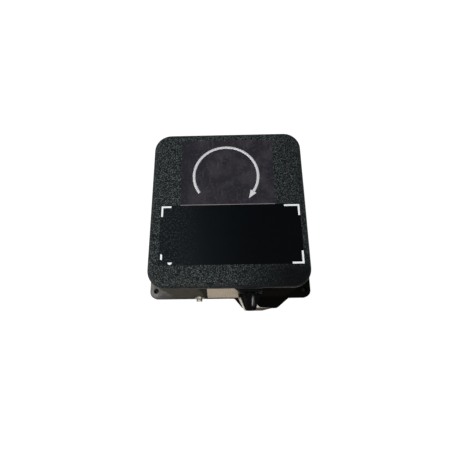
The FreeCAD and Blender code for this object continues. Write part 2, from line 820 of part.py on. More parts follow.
def make_gimbal():
    """Gimbal ring, its pivots and bearings, and the torsion bar with its clamp."""
    body = new_body("gimbal")
    outline = sketch_on(body, "XY_Plane", "gimbal_outline", "axis_height - gimbal_high / 2")
    draw_round_rectangle(outline, "gimbal_width", "gimbal_depth", "gimbal_corner", "0", "gyro_y")
    draw_round_rectangle(
        outline, "gimbal_width - 2 * gimbal_bar", "gimbal_depth - 2 * gimbal_bar", "gimbal_inner_corner",
        "0", "gyro_y",
    )
    add_feature(body, "Pad", "gimbal_ring", outline, "gimbal_high")
    pivots = sketch_on(body, "YZ_Plane", "pivot_bore_circle")
    draw_circle(pivots, "pivot_radius", "gyro_y", "axis_height")
    add_feature(body, "Pocket", "pivot_bores", pivots, through=True)
    shaft = sketch_on(body, "XZ_Plane", "spin_bore_circle")
    draw_circle(shaft, "spin_shaft_radius", "0", "axis_height")
    add_feature(body, "Pocket", "spin_bores", shaft, through=True)
    keep(body, "gimbal")

    inner_end = "(gimbal_width / 2 - gimbal_bar)"
    pivot_long = "arm_inside + arm_thick + pivot_beyond_arm - " + inner_end
    right = cylinder("pivot_radius", pivot_long, (inner_end, "gyro_y", "axis_height"), "x")
    left = cylinder("pivot_radius", pivot_long, ("-" + inner_end, "gyro_y", "axis_height"), "-x")
    keep(group([right, left]), "gimbal_pivots")

    start = "arm_inside + (arm_thick - bearing_width) / 2"
    bearings = []
    for sign, axis in (("", "x"), ("-", "-x")):
        at = (sign + "(" + start + ")", "gyro_y", "axis_height")
        bearings.append(ring("bearing_outer", "pivot_radius + running_clear", "bearing_width", at, axis))
    keep(group(bearings), "gimbal_bearings")

    bar_start = "(arm_inside + arm_thick + pivot_beyond_arm)"
    bar = cylinder("torsion_radius", "torsion_long", (bar_start, "gyro_y", "axis_height"), "x")
    keep(bar, "torsion_bar")
    outside = ("(arm_inside + arm_thick)", "gyro_y", "axis_height")
    reach = "(pivot_beyond_arm + torsion_long)"
    cup = cylinder("clamp_radius", reach, outside, "x")
    hollow = cylinder("clamp_radius - clamp_wall", reach + " - clamp_end", outside, "x")
    grip = cylinder("torsion_radius + running_clear", reach, outside, "x")
    keep(cut(cup, fuse(hollow, grip)), "torsion_clamp")

    sites = [("0", "gyro_y + %s * (gimbal_depth - gimbal_bar) / 2" % side) for side in ("-1", "1")]
    weights = [
        cylinder("balance_radius", "balance_thick", (x + " + gimbal_bar", y, "axis_height + gimbal_high / 2"))
        for x, y in sites
    ]
    keep(group(weights), "balance_weights")
    stops = [
        cylinder("stop_radius", "axis_height - gimbal_high / 2 - stop_travel - " + FRAME_TOP, (x, y, FRAME_TOP))
        for x, y in sites
    ]
    keep(group(stops), "limit_stops")


def make_rotor():
    """Gyro wheel with its motor inside, all turned about the spin axis."""
    body = new_body("rotor_rim")
    sketch = sketch_on(body, "YZ_Plane", "rim_profile")
    front, back = ("(gyro_y - rotor_width / 2)", "(gyro_y + rotor_width / 2)")
    draw_outline(sketch, [
        (front, "axis_height + rotor_bore"),
        (front, "axis_height + rotor_radius - rotor_chamfer"),
        (front + " + rotor_chamfer", "axis_height + rotor_radius"),
        (back + " - rotor_chamfer", "axis_height + rotor_radius"),
        (back, "axis_height + rotor_radius - rotor_chamfer"),
        (back, "axis_height + rotor_bore"),
    ])
    turning_axis(sketch, front, back, "axis_height")
    turn_profile(body, "rim_turning", sketch, "Axis0")
    keep(body, "rotor_rim")

    bells = []
    bearings = []
    nuts = []
    for side, axis in (("-1", "-y"), ("1", "y")):
        face = ("0", "gyro_y + %s * (rotor_width / 2 - bell_thick)" % side, "axis_height")
        bells.append(ring("rotor_bore", "spin_bearing_outer + running_clear", "bell_thick", face, axis))
        bearings.append(ring("spin_bearing_outer", "spin_shaft_radius", "spin_bearing_width", face, axis))
        nut_face = ("0", "gyro_y + %s * gimbal_depth / 2" % side, "axis_height")
        nut = prism("shaft_nut_across", "shaft_nut_thick", nut_face, axis)
        nuts.append(cut(nut, cylinder("spin_shaft_radius", "shaft_nut_thick", nut_face, axis)))
    keep(group(bells), "rotor_end_bells")
    keep(group(bearings), "spin_bearings")
    keep(group(nuts), "shaft_nuts")
    sleeve = ring(
        "rotor_bore", "rotor_bore - hysteresis_thick", "hysteresis_width",
        ("0", "gyro_y - hysteresis_width / 2", "axis_height"), "y",
    )
    keep(sleeve, "hysteresis_ring")
    shaft_long = "(gimbal_depth + 2 * shaft_nut_thick + 2 * shaft_end)"
    shaft = cylinder("spin_shaft_radius", shaft_long, ("0", "gyro_y - %s / 2" % shaft_long, "axis_height"), "y")
    keep(shaft, "spin_shaft")

    stator_at = ("0", "gyro_y - stator_width / 2", "axis_height")
    core = ring("stator_radius", "spin_shaft_radius", "stator_width", stator_at, "y")
    slots = []
    for number in range(int(value("stator_slots"))):
        slot = box(("slot_wide", "stator_width", "slot_deep + running_clear"), ("0", "0", "0"))
        turn = "360 * %d / stator_slots" % number
        slot.Placement = FreeCAD.Placement(V(0, 0, 0), FreeCAD.Rotation(V(0, 1, 0), value(turn)))
        away = "(stator_radius - slot_deep)"
        sine, cosine = ("sin(%s)" % turn, "cos(%s)" % turn)
        bind(slot, "Placement.Base.x", "%s * %s - slot_wide / 2 * %s" % (away, sine, cosine))
        bind(slot, "Placement.Base.y", "gyro_y - stator_width / 2")
        bind(slot, "Placement.Base.z", "axis_height + %s * %s + slot_wide / 2 * %s" % (away, cosine, sine))
        slots.append(slot)
    keep(cut(core, *slots), "motor_stator")
    windings = [
        ring(
            "stator_radius - winding_inset", "spin_shaft_radius + winding_core_gap", "winding_long",
            ("0", "gyro_y + %s * stator_width / 2" % side, "axis_height"), axis,
        )
        for side, axis in (("-1", "-y"), ("1", "y"))
    ]
    keep(group(windings), "motor_windings")


def make_pickoff():
    """Stator ring with four wound poles, and the armature on the gimbal's left pivot."""
    face = "-(arm_inside + arm_thick)"
    at = (face, "gyro_y", "axis_height")
    shell = ring("pickoff_outer", "pickoff_outer - pickoff_ring", "pickoff_width", at, "-x")
    pole_tip = "(armature_radius + pickoff_gap)"
    pole_long = "(pickoff_outer - pickoff_ring / 2 - armature_radius - pickoff_gap)"
    middle = "(" + face + " - pickoff_width / 2)"
    poles = []
    coils = []
    pole_width = "(pickoff_width - 2 * coil_thick)"
    for side_y, side_z in ((0, 1), (0, -1), (1, 0), (-1, 0)):
        offset = "(%s + %s / 2)" % (pole_tip, pole_long)
        pole_y = "gyro_y + %d * %s" % (side_y, offset)
        pole_z = "axis_height + %d * %s" % (side_z, offset)
        size_y = "pole_wide" if side_z else pole_long
        size_z = pole_long if side_z else "pole_wide"
        poles.append(box((pole_width, size_y, size_z), (middle, pole_y, "%s - %s / 2" % (pole_z, size_z))))
        coil_reach = "(pickoff_outer - pickoff_ring - armature_radius - pickoff_gap - 2 * coil_end_gap)"
        coil_offset = "(armature_radius + pickoff_gap + coil_end_gap + %s / 2)" % coil_reach
        coil_y = "gyro_y + %d * %s" % (side_y, coil_offset)
        coil_z = "axis_height + %d * %s" % (side_z, coil_offset)
        wide = "(pole_wide + 2 * coil_thick)"
        coil_size_y = wide if side_z else coil_reach
        coil_size_z = coil_reach if side_z else wide
        coil = box(
            ("pickoff_width", coil_size_y, coil_size_z),
            (middle, coil_y, "%s - %s / 2" % (coil_z, coil_size_z)),
        )
        core = box((pole_width, size_y, size_z), (middle, pole_y, "%s - %s / 2" % (pole_z, size_z)))
        coils.append(cut(coil, core))
    keep(fuse(shell, *poles), "pickoff_stator")
    keep(group(coils), "pickoff_coils")
    hub_at = (face + " - pivot_beyond_arm", "gyro_y", "axis_height")
    disc = cylinder("armature_radius", "pickoff_width - pivot_beyond_arm", hub_at, "-x")
    blade = box(
        ("pickoff_width", "2 * armature_radius", "armature_wide"),
        (middle, "gyro_y", "axis_height - armature_wide / 2"),
    )
    keep(common(disc, blade), "pickoff_armature")


def make_damper():
    """Vane on the gimbal's right bar, between two magnets on the frame."""
    x = "(gimbal_width - gimbal_bar) / 2"
    keep(
        box(
            ("vane_thick", "vane_width", "vane_long"),
            (x, "gyro_y", "axis_height - gimbal_high / 2 - vane_long"),
        ),
        "damper_vane",
    )
    magnets = [
        box(
            ("magnet_thick", "magnet_width", "magnet_high"),
            ("%s + %s * (vane_thick / 2 + magnet_gap + magnet_thick / 2)" % (x, side), "gyro_y", FRAME_TOP),
        )
        for side in ("-1", "1")
    ]
    keep(group(magnets), "damper_magnets")


def make_boards():
    """Two stacked circuit boards with their spacers, screws and components."""
    holes = corners(BOARD_X, BOARD_Y, "0", "board_y")
    for label, height in (("power_board", "lower_board_z"), ("signal_board", "upper_board_z")):
        board = box(("board_width", "board_depth", "board_thick"), ("0", "board_y", height))
        bores = [cylinder("board_screw_dia / 2", "board_thick", (x, y, height)) for x, y in holes]
        keep(cut(board, *bores), label)
    spacers = []
    screws = []
    upper_start = "lower_board_z + board_thick"
    bore = "board_screw_dia / 2"
    for x, y in holes:
        low_hex = prism("spacer_across", "lower_board_z - plate_thick", (x, y, "plate_thick"))
        low_bore = cylinder(bore, "spacer_bore_deep", (x, y, "lower_board_z - spacer_bore_deep"))
        spacers.append(cut(low_hex, low_bore))
        high_hex = prism("spacer_across", "upper_board_z - lower_board_z - board_thick", (x, y, upper_start))
        high_bore = cylinder(bore, "spacer_bore_deep", (x, y, "upper_board_z - spacer_bore_deep"))
        stud = cylinder(bore, "board_thick + stud_long", (x, y, "lower_board_z - stud_long"))
        spacers.append(fuse(cut(high_hex, high_bore), stud))
        top = "upper_board_z + board_thick"
        screws.append(
            screw(
                "board_head_dia", "board_head_high", "board_screw_dia", "board_screw_long",
                (x, y, top), "-z", "z",
            )
        )
    keep(group(spacers), "board_spacers")
    keep(group(screws), "board_screws")

    low = "(lower_board_z + board_thick)"
    high = "(upper_board_z + board_thick)"
    core = box(("transformer_width", "core_depth", "transformer_high"), ("transformer_x", "board_y", low))
    bobbin = box(
        ("bobbin_width", "transformer_depth", "bobbin_high"),
        ("transformer_x", "board_y", low + " + (transformer_high - bobbin_high) / 2"),
    )
    keep(core, "transformer_core")
    keep(cut(bobbin, core), "transformer_winding")
    cans = [
        cylinder("can_radius", "can_high", ("can_first_x + %d * can_pitch" % column, row, low))
        for column in range(3)
        for row in ("board_y - can_row", "board_y - can_row + can_pitch")
    ]
    keep(group(cans), "power_capacitors")
    small = [
        cylinder(
            "transistor_radius", "transistor_high",
            ("transistor_first_x + %d * transistor_pitch" % column, "board_y + transistor_row", high),
        )
        for column in range(5)
    ]
    keep(group(small), "transistors")
    resistors = [
        cylinder(
            "resistor_radius", "resistor_long",
            (
                "resistor_first_x + %d * resistor_pitch" % column,
                "board_y - %d * resistor_row" % row,
                high + " + resistor_radius",
            ),
            "x",
        )
        for column in range(5)
        for row in (1, 2)
    ]
    keep(group(resistors), "resistors")
    trimmers = [
        box(
            ("trimmer_long", "trimmer_wide", "trimmer_high"),
            ("trimmer_first_x + %d * trimmer_pitch" % column, "board_y - trimmer_row", high),
        )
        for column in range(2)
    ]
    keep(group(trimmers), "trimmers")


make_housing()
make_cover()
make_cover_gasket()
make_cover_screws()
make_decals()
make_front_tape()
make_connector()
make_dust_cap()
make_ground_terminal()
make_gyro_frame()
make_gimbal()
make_rotor()
make_pickoff()
make_damper()
make_boards()
doc.recompute()

for item in doc.Objects:
    if "Invalid" in item.State or "Error" in item.State:
        raise RuntimeError("%s failed" % item.Name)
os.makedirs("parts", exist_ok=True)
for item in nodes:
    shape = item.Shape
    if shape.isNull() or not shape.isValid() or not shape.Solids:
        raise RuntimeError("%s has no valid solid" % item.Label)
    shape.exportStep("parts/%s.step" % item.Label)
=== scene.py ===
import math
import bmesh
import bpy
from mathutils import Matrix, Vector


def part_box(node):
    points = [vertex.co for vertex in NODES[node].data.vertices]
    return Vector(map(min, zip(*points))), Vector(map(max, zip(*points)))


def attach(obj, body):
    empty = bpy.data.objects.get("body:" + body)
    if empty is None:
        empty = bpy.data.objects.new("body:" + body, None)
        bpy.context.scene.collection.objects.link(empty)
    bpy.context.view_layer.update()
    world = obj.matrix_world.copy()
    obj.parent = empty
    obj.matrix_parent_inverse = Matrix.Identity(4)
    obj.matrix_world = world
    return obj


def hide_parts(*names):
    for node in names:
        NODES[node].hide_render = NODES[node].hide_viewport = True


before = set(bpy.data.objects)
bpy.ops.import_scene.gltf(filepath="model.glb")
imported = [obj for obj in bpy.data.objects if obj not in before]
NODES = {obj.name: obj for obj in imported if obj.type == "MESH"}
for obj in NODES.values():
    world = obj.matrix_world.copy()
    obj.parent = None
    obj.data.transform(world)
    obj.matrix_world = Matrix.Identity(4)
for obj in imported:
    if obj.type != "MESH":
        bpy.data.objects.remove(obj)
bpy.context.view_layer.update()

MM = 0.001
COVER_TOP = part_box("cover")[1].z
FLANGE_TOP = 5.0 * MM

# Camera

CAMERA_ELEVATION = 71.84
CAMERA_AZIMUTH = 3.265
CAMERA_ROLL = -4.068
CAMERA_RIGHT = -3.088 * MM
CAMERA_UP = 6.536 * MM
CAMERA_DISTANCE = 306.474 * MM
CAMERA_LENS = 25.63


def camera_axes(elevation, azimuth, roll):
    """Right, up and back of a camera that looks down at the object."""
    rise, turn = math.radians(elevation), math.radians(azimuth)
    back = Vector((math.sin(turn) * math.cos(rise), -math.cos(turn) * math.cos(rise), math.sin(rise)))
    right = Vector((0, 0, 1)).cross(back).normalized()
    tilt = Matrix.Rotation(math.radians(roll), 3, back)
    right = tilt @ right
    return right, back.cross(right), back


def place_camera():
    """Puts the camera where the photograph was taken from."""
    right, up, back = camera_axes(CAMERA_ELEVATION, CAMERA_AZIMUTH, CAMERA_ROLL)
    camera = bpy.data.objects.new("camera", bpy.data.cameras.new("camera"))
    camera.data.lens = CAMERA_LENS
    camera.data.clip_start = 0.01
    position = right * CAMERA_RIGHT + up * CAMERA_UP + back * CAMERA_DISTANCE
    position.z += FLANGE_TOP
    axes = Matrix((right, up, back)).transposed().to_4x4()
    camera.matrix_world = Matrix.Translation(position) @ axes
    bpy.context.scene.collection.objects.link(camera)
    bpy.context.scene.camera = camera


# Finishes. Colours are linear red, green and blue; places along an axis are in millimetres.

TAPE_LEAN = 0.0643       # how far the tape's left edge moves in X for each step in Z


class Finish:
    """A material of one Principled shader with textures in the object's own coordinates, in millimetres."""

    def __init__(self, name, colour, roughness, metallic=0.0, specular=0.5):
        self.material = bpy.data.materials.new(name)
        self.material.use_nodes = True
        self.nodes = self.material.node_tree.nodes
        self.links = self.material.node_tree.links
        self.shader = self.nodes["Principled BSDF"]
        self.colour = (*colour, 1.0)
        self.shader.inputs["Base Color"].default_value = self.colour
        self.shader.inputs["Roughness"].default_value = roughness
        self.shader.inputs["Metallic"].default_value = metallic
        self.shader.inputs["Specular IOR Level"].default_value = specular
        self.place = self.nodes.new("ShaderNodeTexCoord").outputs["Object"]

    def join(self, source, target):
        self.links.new(source, target)

    def stretched(self, scale):
        """The object's coordinates, stretched along each axis."""
        mapping = self.nodes.new("ShaderNodeMapping")
        mapping.inputs["Scale"].default_value = scale
        self.join(self.place, mapping.inputs["Vector"])
        return mapping.outputs["Vector"]

    def noise(self, size, detail=2.0, stretch=None, roughness=0.5):
        """Clouds of about the given size, in millimetres."""
        texture = self.nodes.new("ShaderNodeTexNoise")
        texture.inputs["Scale"].default_value = 1 / (size * MM)
        texture.inputs["Detail"].default_value = detail
        texture.inputs["Roughness"].default_value = roughness
        self.join(self.stretched(stretch) if stretch else self.place, texture.inputs["Vector"])
        return texture.outputs["Fac"]

    def cells(self, size):
        """Rounded cells of about the given size, in millimetres."""
        texture = self.nodes.new("ShaderNodeTexVoronoi")
        texture.feature = "SMOOTH_F1"
        texture.inputs["Scale"].default_value = 1 / (size * MM)
        self.join(self.place, texture.inputs["Vector"])
        return texture.outputs["Distance"]

    def bands(self, period, direction, distortion=0.0):
        """Even waves across one axis, with their period in millimetres."""
        texture = self.nodes.new("ShaderNodeTexWave")
        texture.wave_type = "BANDS"
        texture.bands_direction = direction
        texture.inputs["Scale"].default_value = math.pi / 10 / (period * MM)
        texture.inputs["Distortion"].default_value = distortion
        self.join(self.place, texture.inputs["Vector"])
        return texture.outputs["Fac"]

    def along(self, axis):
        """The coordinate along X, Y or Z, in metres."""
        split = self.nodes.new("ShaderNodeSeparateXYZ")
        self.join(self.place, split.inputs["Vector"])
        return split.outputs[axis]

    def spread(self, source, low, high, to_low=0.0, to_high=1.0):
        """Runs smoothly from to_low to to_high while the source goes from low to high."""
        ranged = self.nodes.new("ShaderNodeMapRange")
        ranged.interpolation_type = "SMOOTHSTEP"
        self.join(source, ranged.inputs["Value"])
        ranged.inputs["From Min"].default_value = low
        ranged.inputs["From Max"].default_value = high
        ranged.inputs["To Min"].default_value = to_low
        ranged.inputs["To Max"].default_value = to_high
        return ranged.outputs["Result"]

    def zone(self, axis, start, end, to_start=0.0, to_end=1.0):
        """Runs from to_start to to_end between two places along an axis, in millimetres."""
        return self.spread(self.along(axis), start * MM, end * MM, to_start, to_end)

    def outside(self, mask):
        """The rest of a mask."""
        return self.spread(mask, 0.0, 1.0, 1.0, 0.0)

    def both(self, first, second, operation="MULTIPLY"):
        """The product of two masks, or of a mask and a number, or another operation on them."""
        combined = self.nodes.new("ShaderNodeMath")
        combined.operation = operation
        self.join(first, combined.inputs[0])
        if isinstance(second, (int, float)):
            combined.inputs[1].default_value = second
        else:
            self.join(second, combined.inputs[1])
        return combined.outputs["Value"]

    def tint(self, amount, colour):
        """Blends a second colour over what the base colour is so far."""
        mix = self.nodes.new("ShaderNodeMix")
        mix.data_type = "RGBA"
        base = self.shader.inputs["Base Color"]
        if base.is_linked:
            self.join(base.links[0].from_socket, mix.inputs["A"])
        else:
            mix.inputs["A"].default_value = self.colour
        mix.inputs["B"].default_value = (*colour, 1.0)
        self.join(amount, mix.inputs["Factor"])
        self.join(mix.outputs["Result"], base)

    def shine(self, amount):
        """Lets the roughness follow the amount."""
        self.join(amount, self.shader.inputs["Roughness"])

    def coat(self, amount, roughness):
        """A clear gloss over the finish, strongest where the amount is high."""
        self.join(amount, self.shader.inputs["Coat Weight"])
        self.shader.inputs["Coat Roughness"].default_value = roughness

    def relief(self, height, depth, strength=1.0):
        """Bump of the given depth, in millimetres, over any bump so far."""
        bump = self.nodes.new("ShaderNodeBump")
        bump.inputs["Strength"].default_value = strength
        bump.inputs["Distance"].default_value = depth * MM
        normal = self.shader.inputs["Normal"]
        if normal.is_linked:
            self.join(normal.links[0].from_socket, bump.inputs["Normal"])
        self.join(height, bump.inputs["Height"])
        self.join(bump.outputs["Normal"], normal)


def wrinkle_paint():
    """Fine black wrinkle paint with painted sheen on its fold crests, a little dusty along the front edge, and
    painted shade: darker towards the right, deepest at its front right, and darker down its rounded top edge.
    """
    valley, painted_crest_sheen = (0.0042, 0.006, 0.0066), (0.107, 0.124, 0.128)
    dim, dust_colour = (0.003, 0.004, 0.0045), (0.09, 0.08, 0.06)
    deep_shade, rim_shade = (0.0015, 0.002, 0.0024), (0.003, 0.0035, 0.0035)
    finish = Finish("wrinkle_paint", valley, 0.5, specular=0.02)
    folds = finish.noise(0.8, detail=3.0, roughness=0.75)
    # painted sheen: the fold crests, where the relief rises, are made much lighter than the black valleys
    finish.tint(finish.both(finish.spread(folds, 0.47, 0.68), 0.95), painted_crest_sheen)
    # painted shade: the right side is made darker, as the light falls from the left
    finish.tint(finish.zone("X", 15, 60, 0.0, 0.35), dim)
    dusty_edge = finish.zone("Y", -45, -60)
    dust = finish.spread(finish.noise(2.6, detail=4.0), 0.5, 0.7)
    left = finish.zone("X", 30, -30)
    finish.tint(finish.both(finish.both(dusty_edge, dust), finish.both(left, 0.35)), dust_colour)
    right, front = finish.zone("X", -10, 45), finish.zone("Y", -36, -52)
    finish.tint(finish.both(finish.both(front, right), 0.95), deep_shade)
    finish.tint(finish.both(finish.zone("Z", 78.4, 75), 0.75), rim_shade)
    finish.shine(finish.spread(finish.noise(14, detail=2.0), 0.3, 0.7, 0.44, 0.56))
    finish.relief(finish.cells(1.4), 0.3, 0.7)
    finish.relief(folds, 0.3, 0.9)
    return finish.material


def housing_enamel():
    """Black enamel, glossy on the flange, with painted light on the flange's left and its left ear; the front wall
    is dull, with painted light at its left and black at its right, and painted shadow on the wall beside the tape
    and on the flange's lip under it.
    """
    enamel, painted_light_flange_left, painted_light_left_ear = (0.0028, 0.0027, 0.0023), (0.036, 0.034, 0.03), (0.12, 0.12, 0.115)
    wall_black, painted_light_wall_left, painted_shadow_by_tape = (0.0055, 0.005, 0.0045), (0.058, 0.054, 0.044), (0.012, 0.01, 0.008)
    plain_wall, cloud, painted_shadow_under_tape = (0.012, 0.0118, 0.011), (0.033, 0.03, 0.025), (0.012, 0.007, 0.004)
    finish = Finish("housing_enamel", enamel, 0.5, specular=0.0)
    wall = finish.zone("Z", 5.4, 6.6)
    left = finish.zone("X", 14, -30)
    other_walls = finish.both(wall, finish.zone("Y", -58, -40))
    # painted light: the flange is made lighter towards its left and at its left ear, where the light falls
    finish.tint(finish.both(left, 0.5), painted_light_flange_left)
    finish.tint(finish.zone("X", -58, -72, 0.0, 0.6), painted_light_left_ear)
    finish.tint(finish.both(wall, 0.9), wall_black)
    # painted light on the front wall's left, where the light falls
    finish.tint(finish.both(wall, left), painted_light_wall_left)
    # painted shadow on the wall along the tape's left edge
    beside_tape = finish.both(finish.zone("X", -22.8, -21.2), finish.zone("X", -14, -16))
    finish.tint(finish.both(wall, finish.both(beside_tape, 0.7)), painted_shadow_by_tape)
    finish.tint(finish.both(other_walls, 0.85), plain_wall)
    clouds = finish.spread(finish.noise(5, detail=5.0), 0.45, 0.7, 0.0, 0.5)
    finish.tint(finish.both(clouds, finish.both(left, other_walls, "MAXIMUM")), cloud)
    # painted shadow on the flange's front lip under the tape; the coat is left off there as well
    under_tape = finish.both(finish.zone("X", -22, -20.5), finish.zone("X", 8, 6))
    front_lip = finish.both(finish.zone("Z", 5.4, 5), finish.zone("Y", -59.5, -60.3))
    shaded_lip = finish.both(under_tape, front_lip)
    finish.tint(finish.both(shaded_lip, 0.95), painted_shadow_under_tape)
    flange = finish.both(finish.outside(wall), finish.outside(shaded_lip))
    gloss = finish.both(flange, finish.spread(left, 0.0, 1.0, 0.02, 0.34))
    finish.coat(finish.both(gloss, finish.both(other_walls, 0.2), "ADD"), 0.34)
    finish.relief(finish.noise(0.9, detail=2.0), 0.03, 0.5)
    return finish.material


def black_decal():
    """Glossy black foil; the paint's wrinkles show through at its left as relief, with painted highlights on them
    and painted light over the foil's left.
    """
    foil, painted_light_foil_left, wrinkle = (0.0018, 0.0024, 0.003), (0.0045, 0.0065, 0.0078), (0.026, 0.034, 0.038)
    finish = Finish("black_decal", foil, 0.3, specular=0.008)
    # painted light: the foil is made lighter towards its left, where the light falls
    finish.tint(finish.zone("X", 25, -40, 0.0, 0.8), painted_light_foil_left)
    left = finish.zone("X", -14, -48)
    folds = finish.noise(1.1, detail=2.0, roughness=0.7)
    # painted highlights on the wrinkles at the foil's left
    finish.tint(finish.both(left, finish.spread(folds, 0.5, 0.64)), wrinkle)
    finish.shine(finish.spread(finish.noise(5.0, detail=3.0), 0.3, 0.7, 0.26, 0.34))
    finish.relief(finish.both(folds, finish.spread(left, 0.0, 1.0, 0.15, 1.0)), 0.35, 0.8)
    return finish.material


def purple_decal():
    """Satin dark foil with faint clouds, fine specks and rubbed streaks."""
    foil, cloud, speck = (0.0165, 0.0155, 0.0205), (0.034, 0.031, 0.038), (0.042, 0.041, 0.048)
    streak, left_shade = (0.06, 0.055, 0.062), (0.009, 0.0095, 0.014)
    finish = Finish("purple_decal", foil, 0.42, specular=0.025)
    finish.tint(finish.spread(finish.noise(12, detail=4.0), 0.42, 0.68, 0.0, 0.8), cloud)
    finish.tint(finish.spread(finish.noise(1.6, detail=2.0), 0.52, 0.68, 0.0, 0.5), speck)
    streaks = finish.noise(2.2, detail=3.0, stretch=(1.0, 0.16, 1.0))
    finish.tint(finish.spread(streaks, 0.56, 0.72, 0.0, 0.4), streak)
    finish.tint(finish.zone("X", -18, -42, 0.0, 0.6), left_shade)
    finish.shine(finish.spread(finish.noise(8.0, detail=3.0), 0.3, 0.7, 0.36, 0.5))
    finish.relief(finish.noise(1.2, detail=2.0), 0.08, 0.5)
    return finish.material


def print_ink(name, colour):
    """Matt ink with thin places."""
    finish = Finish(name, colour, 0.5)
    thin = tuple(0.72 * part for part in colour)
    finish.tint(finish.spread(finish.noise(1.4, detail=4.0), 0.5, 0.8, 0.0, 0.8), thin)
    finish.relief(finish.noise(0.7), 0.02, 0.5)
    return finish.material


def crepe_tape():
    """Beige crepe tape with upright ribs on the wall; painted light makes it lighter on the lug and near white right
    of the cap, and painted shade darkens its left edge and its end past the lug's rim.
    """
    paper, between_ribs, stain = (0.4, 0.338, 0.266), (0.3, 0.245, 0.18), (0.28, 0.225, 0.165)
    painted_shadow_left_edge, painted_light_lug, painted_light_patch, painted_shade_at_rim = (0.012, 0.008, 0.005), (0.86, 0.83, 0.78), (0.93, 0.93, 0.92), (0.13, 0.1, 0.078)
    finish = Finish("crepe_tape", paper, 0.72, specular=0.05)
    ribs = finish.bands(1.3, "X", distortion=1.0)
    finish.tint(finish.spread(ribs, 0.1, 0.9, 0.0, 0.7), between_ribs)
    finish.tint(finish.spread(finish.noise(3.0, detail=4.0), 0.45, 0.7, 0.0, 0.5), stain)
    # painted shadow along the tape's left edge, which leans with height
    edge = finish.both(finish.along("X"), finish.both(finish.along("Z"), -TAPE_LEAN), "ADD")
    finish.tint(finish.spread(edge, -20.0 * MM, -20.5 * MM, 0.0, 0.95), painted_shadow_left_edge)
    # painted light: the tape on the lug, left of the cap, is made lighter
    on_lug = finish.zone("Y", -61.4, -61.8)
    finish.tint(finish.both(on_lug, finish.zone("X", 15, 13)), painted_light_lug)
    # painted light: a near-white patch right of the cap
    right = finish.zone("X", 17, 18.5)
    finish.tint(finish.both(right, finish.zone("Y", -63, -64)), painted_light_patch)
    # painted shade on the tape's end past the lug's rim
    finish.tint(finish.both(right, finish.zone("Y", -69.2, -69.8)), painted_shade_at_rim)
    finish.relief(ribs, 0.12, 0.7)
    return finish.material


def bright_steel():
    """Passivated screw steel with turning marks."""
    finish = Finish("bright_steel", (0.62, 0.59, 0.53), 0.4, metallic=1.0)
    finish.tint(finish.spread(finish.noise(1.5, detail=4.0), 0.5, 0.75, 0.0, 0.5), (0.36, 0.33, 0.27))
    finish.shine(finish.spread(finish.noise(0.9, detail=3.0), 0.3, 0.7, 0.34, 0.5))
    return finish.material


def ground_steel():
    """Tarnished screw steel, with painted shade towards the sides of the ground terminal, where its metal would
    mirror dark surroundings.
    """
    painted_side_shade, tarnish = (0.05, 0.046, 0.04), (0.3, 0.28, 0.24)
    shade_start_reach, shade_full_reach = 0.6 * MM, 1.9 * MM
    finish = Finish("ground_steel", (0.5, 0.475, 0.41), 0.36, metallic=1.0)
    low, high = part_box("ground_screw")
    from_middle = finish.both(finish.along("X"), -(low.x + high.x) / 2, "ADD")
    # painted shade: the terminal's sides are made dark, as if they mirror dark surroundings
    side = finish.spread(finish.both(from_middle, from_middle), shade_start_reach ** 2, shade_full_reach ** 2)
    finish.tint(finish.both(side, 0.85), painted_side_shade)
    finish.tint(finish.spread(finish.noise(1.5, detail=4.0), 0.5, 0.75, 0.0, 0.5), tarnish)
    finish.shine(finish.spread(finish.noise(0.9, detail=3.0), 0.3, 0.7, 0.32, 0.46))
    return finish.material


def cap_gloss():
    """Moulded black plastic, duller at its sides and polished by handling right of the top."""
    finish = Finish("cap_gloss", (0.003, 0.003, 0.0034), 0.5, specular=0.0)
    finish.tint(finish.spread(finish.noise(1.8, detail=4.0), 0.5, 0.75, 0.0, 0.6), (0.008, 0.008, 0.008))
    rubbed = finish.both(finish.zone("X", 15.0, 16.6), finish.zone("X", 18.6, 17.2))
    worn = finish.both(finish.zone("Y", -64, -70, 0.12, 1.0), finish.zone("Y", -73.4, -70.5))
    finish.coat(finish.spread(finish.both(rubbed, worn), 0.0, 1.0, 0.012, 0.6), 0.27)
    return finish.material


def seal_rubber():
    """Dull black rubber."""
    finish = Finish("seal_rubber", (0.016, 0.016, 0.016), 0.75, specular=0.3)
    finish.tint(finish.spread(finish.noise(2.0, detail=4.0), 0.5, 0.8), (0.035, 0.034, 0.032))
    finish.relief(finish.noise(0.5), 0.03, 0.5)
    return finish.material


def metal(name, colour, roughness, dull, grain=(1, 1, 1), size=0.8):
    """Bare metal with tool marks stretched along one axis."""
    finish = Finish(name, colour, roughness, metallic=1.0)
    marks = finish.noise(size, detail=4.0, stretch=grain)
    finish.tint(finish.spread(marks, 0.45, 0.75, 0.0, 0.7), dull)
    finish.shine(finish.spread(marks, 0.3, 0.7, roughness * 0.75, roughness * 1.3))
    finish.relief(marks, 0.015, 0.5)
    return finish.material


def plastic(name, colour, roughness, cloud, specular=0.5):
    """Moulded plastic or a painted shell, with faint clouds."""
    finish = Finish(name, colour, roughness, specular=specular)
    finish.tint(finish.spread(finish.noise(3.0, detail=4.0), 0.45, 0.75, 0.0, 0.7), cloud)
    finish.relief(finish.noise(0.6), 0.02, 0.4)
    return finish.material


def winding_wire():
    """Varnished copper wire laid in close turns."""
    finish = Finish("winding_wire", (0.36, 0.11, 0.035), 0.3, metallic=0.6)
    turns = finish.bands(0.35, "Z")
    finish.tint(finish.spread(turns, 0.0, 0.5, 0.8, 0.0), (0.1, 0.03, 0.01))
    finish.relief(turns, 0.08, 0.8)
    return finish.material


